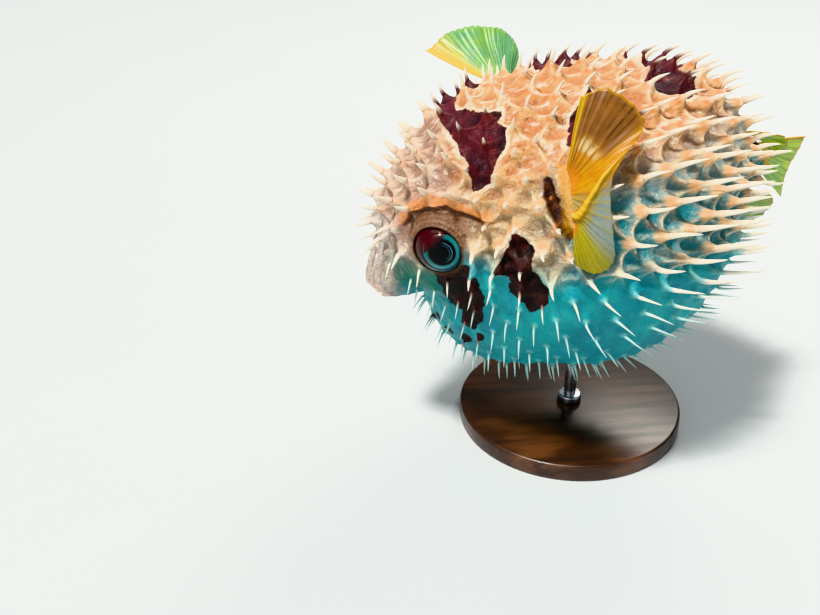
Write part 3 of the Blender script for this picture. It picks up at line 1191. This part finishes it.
def eyeMaterial():
    material, shader = newMaterial("eye", Coat_Weight=0.55, Coat_Roughness=0.03, Coat_IOR=1.3,
                                   Specular_IOR_Level=0.2, Roughness=0.28)
    place = attribute("irisPlace", 1)
    back, up, plain = node("SeparateXYZ", {0: place}).outputs
    wobble = minus(noise(place, 0.55, 3), 0.5)
    radius = scaled(wobble, 0.8, plain)
    strands = node("CombineXYZ", {0: times(math("ARCTAN2", up, back), 9.0), 1: times(radius, 0.5)}).outputs[0]
    fibres = noise(strands, 3.0, 4, 0.65)
    # one ring, brightest behind and below, and a maroon cap drawn down over its upper front
    behind = math("DIVIDE", scaled(back, 0.70, times(up, -0.70)), radius)
    teal = painted(mixed(step(fibres, 0.3, 0.7), tone(22, 106, 114), tone(76, 166, 170)),
                   (step(behind, 0.55, -0.5), tone(14, 92, 98)))
    outer = step(math("ABSOLUTE", minus(radius, 5.9)), 0.34, 0.10)
    inner = step(math("ABSOLUTE", minus(radius, 4.4)), 0.24, 0.06, 0, 0.45)
    around = math("DIVIDE", scaled(back, 0.95, times(up, 0.1)), radius)
    lower = mixed(step(behind, -0.2, 0.3), tone(30, 22, 28), tone(14, 74, 82))
    cap = scaled(wobble, 2.4, scaled(back, -0.60, times(up, 0.80)))
    maroon = painted(mixed(step(fibres, 0.3, 0.7), tone(34, 4, 10), tone(74, 10, 20)),
                     (step(cap, 9.5, 5.8, 0, 0.85), tone(22, 4, 8)))
    colour = painted(mixed(step(radius, 8.0, 9.2), tone(2, 2, 4), teal),
                     (times(larger(outer, inner), step(around, 0.05, 0.7, 0, 0.8)), tone(96, 150, 176)),
                     (step(radius, 12.3, 13.2), tone(5, 30, 38)), (step(radius, 13.4, 14.2), lower),
                     (step(cap, 5.4, 6.8), maroon))
    link(colour, shader["Base Color"])
    link(bump(fibres, 0.0004, 0.4), shader["Normal"])
    return material


# the beak: two halves of tooth plate behind the lips

beakSet = {"behindLips": 0.0003, "halfGap": 0.0004, "rounded": 0.0003, "rear": -0.001, "chips": 0.0003,
           "chipLength": 0.0016, "chipHeight": 0.0012}


def makeBeak(name, side):
    clearPick()
    bpy.ops.mesh.primitive_uv_sphere_add(segments=48, ring_count=32, radius=1, rotation=(0, pi / 2, 0))
    beak = named(name)
    beak.scale = [radius - beakSet["behindLips"] for radius in mouthSet["radii"]]
    settle(beak)
    bpy.ops.object.mode_set(mode="EDIT")
    bpy.ops.mesh.select_all(action="SELECT")
    bpy.ops.mesh.bisect(plane_co=(0, 0, beakSet["halfGap"] * side), plane_no=(0, 0, side), use_fill=True,
                        clear_inner=True)
    bpy.ops.mesh.bevel(offset=beakSet["rounded"], segments=3)
    bpy.ops.mesh.select_all(action="SELECT")
    bpy.ops.mesh.bisect(plane_co=(beakSet["rear"], 0, 0), plane_no=(1, 0, 0), use_fill=True,
                        clear_inner=True)
    bpy.ops.object.mode_set(mode="OBJECT")
    places = vertexPlaces(beak)
    chips = np.cos(places[:, 1] / beakSet["chipLength"] + 0.4) * (np.abs(places[:, 2]) < beakSet["chipHeight"])
    places[:, 0] += beakSet["chips"] * chips
    keepValues(beak, "biteHeight", np.abs(places[:, 2]) * 1000)
    ahead, top = mouthAxes()
    places = mouthSet["middle"] + places[:, :1] * ahead + places[:, 1:2] * [0, 1, 0] + places[:, 2:] * top
    moveVertices(beak, toWorld(places))
    facesOut(beak)
    bpy.ops.object.shade_smooth_by_angle(angle=radians(40))
    return beak


def beakMaterial():
    material, shader = newMaterial("beak", Coat_Weight=0.5, Coat_Roughness=0.12, Roughness=0.32)
    stain = noise(objectPlace(), 420, 4)
    colour = painted(mixed(step(stain, 0.35, 0.7), tone(240, 228, 198), tone(214, 192, 150)),
                     (step(attribute("biteHeight"), 2.0, 0.3, 0, 0.6), tone(250, 244, 226)))
    link(colour, shader["Base Color"])
    link(bump(stain, 0.0003, 0.3), shader["Normal"])
    return material


# fins

finSet = {"thick": 0.0012, "web": 0.22, "ripple": 0.0011, "furrow": 0.00020, "scallop": 0.009,
          "crease": 0.0026, "creaseWidth": 0.055, "letIn": 0.028, "fullSize": 0.05, "levels": 20}


def finShape(fin, share, t, column, row):  # the places of the fin's grid, and what its material needs to know
    columns, rows, gaps = fin["columns"], fin["rows"], fin["rays"] - 1
    grid = finPoints(fin, columns, rows)
    normals = unitOf(np.cross(np.gradient(grid, axis=1), np.gradient(grid, axis=0)))
    scale = min(1, np.linalg.norm(grid[-1] - grid[0], axis=-1).mean() / finSet["fullSize"])
    ray = np.cos(share * gaps * 2 * pi)
    between = (1 - ray) / 2
    rowPlace = np.clip(t * (1 - finSet["scallop"] * between * t**3) * rows, 0, rows)
    low = np.minimum(rowPlace.astype(int), rows - 1)
    part = (rowPlace - low)[:, None]
    places = grid[low, column] * (1 - part) + grid[low + 1, column] * part
    wave = np.sin(share * 17 + 2.5 * t + 1) + 0.6 * np.sin(share * 31 - 4 * t)
    lift = finSet["ripple"] * wave * ease(t, 0.25, 1) * scale
    lift = lift - finSet["furrow"] * between * ease(t, 0.02, 0.3)
    crease, beyond = np.zeros(len(share)), np.full(len(share), -1.0)
    if "crease" in fin:  # the web folds over along a raised line
        beyond = t - np.interp(share, *fin["crease"])
        crease = np.exp(-((beyond / finSet["creaseWidth"]) ** 2))
        crease = crease * ease(share, 0.34, 0.42) * (1 - ease(share, 0.72, 0.80))
        lift = lift + finSet["crease"] * crease * np.sign(normals[..., 1].mean())
    places = places + normals[row, column] * lift[:, None]
    places = places * (1 - finSet["letIn"] * (1 - ease(t, 0, 0.07)))[:, None]
    values = {"crease": crease, "beyond": beyond, "finPlace": np.stack([share, t, share * gaps], -1)}
    return places, values, ray, scale


def makeFin(name, fin):
    columns, rows = fin["columns"], fin["rows"]
    clearPick()
    bpy.ops.mesh.primitive_grid_add(x_subdivisions=columns, y_subdivisions=rows, size=2)
    obj = named(name + "_web")
    flat = vertexPlaces(obj)
    column, row = (np.rint((flat[:, k] + 1) / 2 * (columns, rows)[k]).astype(int) for k in (0, 1))
    share, t = column / columns, row / rows
    places, values, ray, scale = finShape(fin, share, t, column, row)
    for label, value in values.items():
        keepValues(obj, label, value)
    moveVertices(obj, toWorld(places))
    group = obj.vertex_groups.new(name="rays")  # thick along the rays and at the root
    weight = np.clip(finSet["web"] + (1 - finSet["web"]) * np.clip(ray, 0, 1) ** 2 * (1 - 0.6 * t), 0, 1)
    levels = np.rint(np.maximum(weight, 1 - ease(t, 0.0, 0.16)) * finSet["levels"]).astype(int)
    for level in range(finSet["levels"] + 1):
        group.add(np.flatnonzero(levels == level).tolist(), level / finSet["levels"], "REPLACE")
    solid = obj.modifiers.new("thick", "SOLIDIFY")
    solid.thickness = finSet["thick"] * (0.6 + 0.4 * scale)
    solid.offset = 0
    solid.vertex_group = "rays"
    solid.thickness_vertex_group = 0.0
    settle(obj)
    obj.vertex_groups.clear()
    facesOut(obj)
    bpy.ops.object.shade_smooth()
    return obj


def finMaterial(name, tones, alpha, marks=None):
    material, shader = newMaterial(name, Coat_Weight=0.12, Coat_Roughness=0.2, Roughness=0.42)
    share, t, rays = node("SeparateXYZ", {0: attribute("finPlace", 1)}).outputs
    spread, fine = noise(objectPlace(), 60, 4, 0.6), noise(objectPlace(), 600, 3, 0.6)
    own = node("TexNoise", {"W": rays, "Scale": 0.9, "Detail": 1.0}, noise_dimensions="1D").outputs[0]
    whole, split = math("COSINE", times(rays, 2 * pi)), math("COSINE", times(rays, 4 * pi))
    ray = mixed(step(t, 0.45, 0.75), whole, split)
    onRay = times(step(ray, 0.25, 0.9), step(own, 0.30, 0.62, 0.25, 1.0))
    colour = painted(mixed(step(spread, 0.35, 0.65), tones["web"], tones["web2"]),
                     (times(onRay, 0.7), tones["ray"]),
                     (step(share, tones.get("edgeWidth", 0.09), 0.03, 0, 0.95), tones["edge"]),
                     (step(t, 0.26, 0.02, 0, 0.85), tones["root"]),
                     (step(plus(t, times(spread, 0.06)), 0.95, 1.03, 0, tones["margin"]), tones["edge"]))
    cover = larger(times(onRay, 0.8), step(t, 0.22, 0.05))
    cover = step(larger(cover, step(share, 0.08, 0.03, 0, 0.95)), 0, 1, alpha, 1.0)
    if marks:
        colour, cover = marks(share, t, onRay, spread, colour, cover)
    link(mixed(step(fine, 0.3, 0.7, 0, 0.18), colour, tone(90, 70, 20)), shader["Base Color"])
    link(cover, shader["Alpha"])
    link(bump(fine, 0.0004, 0.25), shader["Normal"])
    return material


def nearFinMarks(share, t, onRay, spread, colour, cover):
    def band(low, high, soft):
        return times(step(share, low - soft, low + soft), step(share, high + soft, high - soft))

    torn = plus(plus(t, times(minus(spread, 0.5), 0.30)), times(onRay, -0.06))  # a ragged edge across the web
    stain = times(band(0.045, 0.29, 0.03), step(torn, 0.38, 0.58), step(t, 1.01, 0.96))
    brown = painted(mixed(onRay, tone(128, 82, 44), tone(56, 26, 18)),
                    (step(spread, 0.42, 0.68, 0, 0.7), tone(156, 104, 54)))
    glint = times(step(torn, 0.33, 0.40), step(torn, 0.52, 0.42), band(0.09, 0.25, 0.04),
                  step(onRay, 0.6, 0.1, 0.1, 0.75))
    onCrease, past = step(attribute("crease"), 0.15, 0.7), attribute("beyond")
    beyond = times(step(past, 0.03, 0.14), step(share, 0.40, 0.5))
    glassy = painted(mixed(onRay, tone(150, 180, 184), tone(176, 178, 96)),
                     (step(past, 0.34, 0.10), tone(176, 168, 60)))
    before = times(step(past, -0.05, -0.12), step(share, 0.42, 0.54), step(share, 0.86, 0.74), 0.85)
    lobe = times(step(share, 0.66, 0.76), step(t, 0.15, 0.3), 0.9)
    colour = painted(colour, (times(stain, 0.94), brown), (glint, tone(240, 222, 170)),
                     (times(beyond, step(share, 0.86, 0.70, 0, 0.85)), glassy),
                     (before, mixed(onRay, tone(168, 162, 120), tone(186, 160, 60))),
                     (lobe, mixed(onRay, tone(172, 164, 20), tone(134, 132, 20))),
                     (onCrease, tone(250, 200, 20)))
    thin = step(times(beyond, step(share, 0.80, 0.66)), 0, 1, 1.0, 0.68)
    return colour, larger(times(larger(cover, times(stain, 0.85)), thin), onCrease)


finTones = {
    "pectoral_fin_left": {"web": tone(210, 156, 2), "web2": tone(190, 124, 2), "ray": tone(168, 98, 8),
                          "edge": tone(214, 170, 24), "root": tone(210, 126, 12), "margin": 0.3},
    "pectoral_fin_right": {"web": tone(46, 150, 98), "web2": tone(116, 176, 52), "ray": tone(120, 186, 92),
                           "edge": tone(240, 200, 8), "root": tone(196, 172, 30), "margin": 0.0,
                           "edgeWidth": 0.24},
    "tail": {"web": tone(156, 190, 48), "web2": tone(104, 176, 76), "ray": tone(196, 196, 60),
             "edge": tone(232, 170, 20), "root": tone(200, 160, 40), "margin": 0.6},
}

# the stand

standSet = {"baseRadius": 0.075, "baseHeight": 0.012, "rodRadius": 0.0040, "rodFrom": 0.004,
            "intoBody": 0.0085, "collarRadius": 0.0080, "collarHeight": 0.0060, "collarFrom": 0.0121}
bodyBottom = toWorld(skinPoints(rodAim[None]))[0, 2]
drums = {  # radius, foot, top, rounding of the edges, and sides
    "stand_base": (standSet["baseRadius"], 0, standSet["baseHeight"], 0.0018, 128),
    "stand_rod": (standSet["rodRadius"], standSet["rodFrom"], bodyBottom + standSet["intoBody"], 0.0004, 48),
    "stand_collar": (standSet["collarRadius"], standSet["collarFrom"],
                     standSet["collarFrom"] + standSet["collarHeight"], 0.0012, 64),
}


def makeDrum(name, radius, low, high, edge, sides):
    clearPick()
    bpy.ops.mesh.primitive_cylinder_add(vertices=sides, radius=radius, depth=high - low,
                                        location=(0, 0, (low + high) / 2))
    drum = named(name + "_turned")
    settle(drum)
    bevel = drum.modifiers.new("edge", "BEVEL")
    bevel.width = edge
    bevel.segments = 4
    bevel.limit_method = "ANGLE"
    settle(drum)
    bpy.ops.object.shade_smooth_by_angle(angle=radians(35))
    return drum


def woodMaterial():
    material, shader = newMaterial("stand_wood", Coat_Weight=0.35, Coat_Roughness=0.18)
    grain = noise(objectPlace((3, 34, 34)), 3.0, 6, 0.62)
    years = {"Vector": objectPlace((1.2, 9, 9)), "Scale": 3.2, "Distortion": 6.0, "Detail": 3.0}
    bands = node("TexWave", years).outputs[1]
    colour = painted(mixed(step(bands, 0.1, 0.9), tone(58, 34, 22), tone(96, 60, 38)),
                     (step(grain, 0.35, 0.7), tone(38, 22, 15)))
    link(colour, shader["Base Color"])
    link(step(grain, 0.3, 0.8, 0.34, 0.5), shader["Roughness"])
    link(bump(grain, 0.0005, 0.25), shader["Normal"])
    return material


def steelMaterial():
    material, shader = newMaterial("stand_steel", Metallic=1.0)
    brushed = noise(objectPlace((30, 30, 900)), 12, 4, 0.6)
    link(mixed(brushed, tone(168, 170, 174), tone(206, 208, 212)), shader["Base Color"])
    link(step(brushed, 0.3, 0.7, 0.24, 0.38), shader["Roughness"])
    return material


# putting it together


def makeFloor():
    clearPick()
    bpy.ops.mesh.primitive_plane_add(size=floorSet["size"])
    floor = named("floor")
    material, shader = newMaterial("floor", Roughness=floorSet["rough"])
    cloud = noise(objectPlace(), 6.0, 3)
    link(mixed(step(cloud, 0.3, 0.7, 0, 0.3), floorSet["colour"], floorSet["cloud"]), shader["Base Color"])
    floor.data.materials.append(material)


makeCamera()
makeLamps()
makeFloor()
print("camera, lamps and floor set")
colours = bodyColours()
install(makeSkin(), skinMaterial(colours), "skin", "head", "back", "belly", "tail_root")
install(makeSpines(), spineMaterial(colours), "skin")
eyeLook, beakLook = eyeMaterial(), beakMaterial()
for name, side in (("eye_left", 1), ("eye_right", -1)):
    install(makeEye(side), eyeLook, "eye", name)
for name, side in (("beak_upper", 1), ("beak_lower", -1)):
    install(makeBeak(name + "_plate", side), beakLook, "beak", name)
print("eyes and beak set")
tailLook = finMaterial("tail_fins", finTones["tail"], 0.72)
finLooks = {"pectoral_fin_left": finMaterial("near_fin", finTones["pectoral_fin_left"], 0.80, nearFinMarks),
            "pectoral_fin_right": finMaterial("far_fin", finTones["pectoral_fin_right"], 0.74)}
for name, fin in fins.items():
    install(makeFin(name, fin), finLooks.get(name, tailLook), "fin", name)
print("fins set")
woodLook, steelLook = woodMaterial(), steelMaterial()
for name, look, slot in (("stand_base", woodLook, "stand_wood"), ("stand_rod", steelLook, "stand_steel"),
                         ("stand_collar", steelLook, "stand_steel")):
    install(makeDrum(name, *drums[name]), look, slot, name)
print("stand set")
